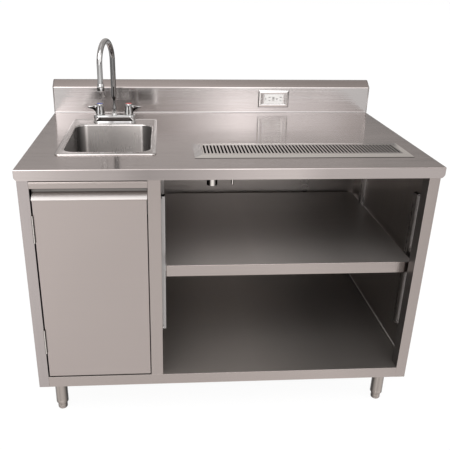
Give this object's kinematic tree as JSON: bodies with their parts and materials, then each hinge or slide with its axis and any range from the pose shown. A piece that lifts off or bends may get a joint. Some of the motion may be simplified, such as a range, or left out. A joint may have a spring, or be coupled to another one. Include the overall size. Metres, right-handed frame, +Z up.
{
  "type": "beverage table with sink",
  "caption": "Stainless steel beverage table with a drop-in hand sink and gooseneck faucet over a cupboard, a drain trough over an open bay with a removable shelf, and a boxed splash.",
  "frame": {"origin": "on the floor, under the middle of the worktop", "axes": "+X to the right along the worktop as the user stands at it, +Y to the splash at the back, +Z up"},
  "size_m": [1.219, 0.762, 1.196],
  "materials": {
    "worktop_steel": "satin, brushed along the table",
    "cabinet_steel": "satin brushed",
    "inner_steel": "dull mill finish",
    "bright_steel": "bright steel",
    "chrome": "polished chrome",
    "brass": "plain machined brass",
    "white_plastic": "glossy moulded plastic",
    "black_plastic": "glossy moulded plastic",
    "red_plastic": "glossy moulded plastic",
    "blue_plastic": "glossy moulded plastic"
  },
  "bodies": {
    "table": {"worktop": "worktop_steel", "splash": "worktop_steel", "splash_end_caps": "worktop_steel", "top_channels": "inner_steel", "left_stile": "cabinet_steel", "right_stile": "cabinet_steel", "centre_post": "cabinet_steel", "header_rail": "cabinet_steel", "left_side_panel": "cabinet_steel", "right_side_panel": "cabinet_steel", "back_panel": "inner_steel", "divider_panel": "inner_steel", "bottom_deck": "inner_steel", "leg_channels": "inner_steel", "pilaster_left_front": "bright_steel", "pilaster_left_rear": "bright_steel", "pilaster_right_front": "bright_steel", "pilaster_right_rear": "bright_steel", "pilaster_screws": "bright_steel", "shelf_clips": "bright_steel", "frame_hinge_leaves": "bright_steel", "hinge_pins": "bright_steel", "catch_magnet": "white_plastic", "sink_bowl": "worktop_steel", "drain_body": "chrome", "drain_nuts": "brass", "sink_tailpiece": "chrome", "faucet_base": "chrome", "faucet_shanks": "brass", "shank_nuts": "brass", "valve_stems": "brass", "trough_pan": "worktop_steel", "trough_tailpiece": "chrome", "trough_stud": "bright_steel", "outlet_box": "bright_steel", "outlet_device": "white_plastic", "outlet_plate": "bright_steel", "plate_screws": "bright_steel", "leg_sockets": "inner_steel", "leg_tubes": "bright_steel", "foot_plugs": "bright_steel"},
    "door": {"door_skin": "cabinet_steel", "door_liner": "inner_steel", "door_hinge_leaves": "bright_steel", "catch_strike": "bright_steel"},
    "spout": {"spout": "chrome", "aerator": "chrome"},
    "left_handle": {"left_handle": "chrome", "left_index": "blue_plastic"},
    "right_handle": {"right_handle": "chrome", "right_index": "red_plastic"},
    "shelf": {"mid_shelf": "inner_steel"},
    "grate": {"trough_grate": "worktop_steel"},
    "basket": {"strainer_basket": "chrome"},
    "test_button": {"test_button": "black_plastic"},
    "reset_button": {"reset_button": "red_plastic"},
    "front_left_foot": {"front_left_foot": "bright_steel"},
    "front_right_foot": {"front_right_foot": "bright_steel"},
    "rear_left_foot": {"rear_left_foot": "bright_steel"},
    "rear_right_foot": {"rear_right_foot": "bright_steel"}
  },
  "joints": [
    {"name": "door_hinge", "type": "hinge", "parent": "table", "child": "door", "pos_m": [-0.57325, -0.3644, 0.5], "axis": [0, 0, -1], "range_deg": [0, 160]},
    {"name": "spout_swivel", "type": "hinge", "parent": "table", "child": "spout", "pos_m": [-0.3685, 0.172, 0.95], "axis": [0, 0, 1], "continuous": true},
    {"name": "left_handle_turn", "type": "hinge", "parent": "table", "child": "left_handle", "pos_m": [-0.4195, 0.172, 0.94], "axis": [0, 0, 1], "range_deg": [0, 90]},
    {"name": "right_handle_turn", "type": "hinge", "parent": "table", "child": "right_handle", "pos_m": [-0.3175, 0.172, 0.94], "axis": [0, 0, 1], "range_deg": [-90, 0]},
    {"name": "shelf_lift", "type": "slide", "parent": "table", "child": "shelf", "axis": [0, 0, 1], "range_m": [0, 0.12]},
    {"name": "grate_lift", "type": "slide", "parent": "table", "child": "grate", "axis": [0, 0, 1], "range_m": [0, 0.03]},
    {"name": "basket_lift", "type": "slide", "parent": "table", "child": "basket", "axis": [0, 0, 1], "range_m": [0, 0.06]},
    {"name": "test_press", "type": "slide", "parent": "table", "child": "test_button", "axis": [0, 1, 0], "range_m": [0, 0.0012], "stiffness_N_per_m": 400},
    {"name": "reset_press", "type": "slide", "parent": "table", "child": "reset_button", "axis": [0, 1, 0], "range_m": [0, 0.0012], "stiffness_N_per_m": 400},
    {"name": "front_left_foot_level", "type": "slide", "parent": "table", "child": "front_left_foot", "axis": [0, 0, -1], "range_m": [0, 0.025]},
    {"name": "front_right_foot_level", "type": "slide", "parent": "table", "child": "front_right_foot", "axis": [0, 0, -1], "range_m": [0, 0.025]},
    {"name": "rear_left_foot_level", "type": "slide", "parent": "table", "child": "rear_left_foot", "axis": [0, 0, -1], "range_m": [0, 0.025]},
    {"name": "rear_right_foot_level", "type": "slide", "parent": "table", "child": "rear_right_foot", "axis": [0, 0, -1], "range_m": [0, 0.025]}
  ]
}
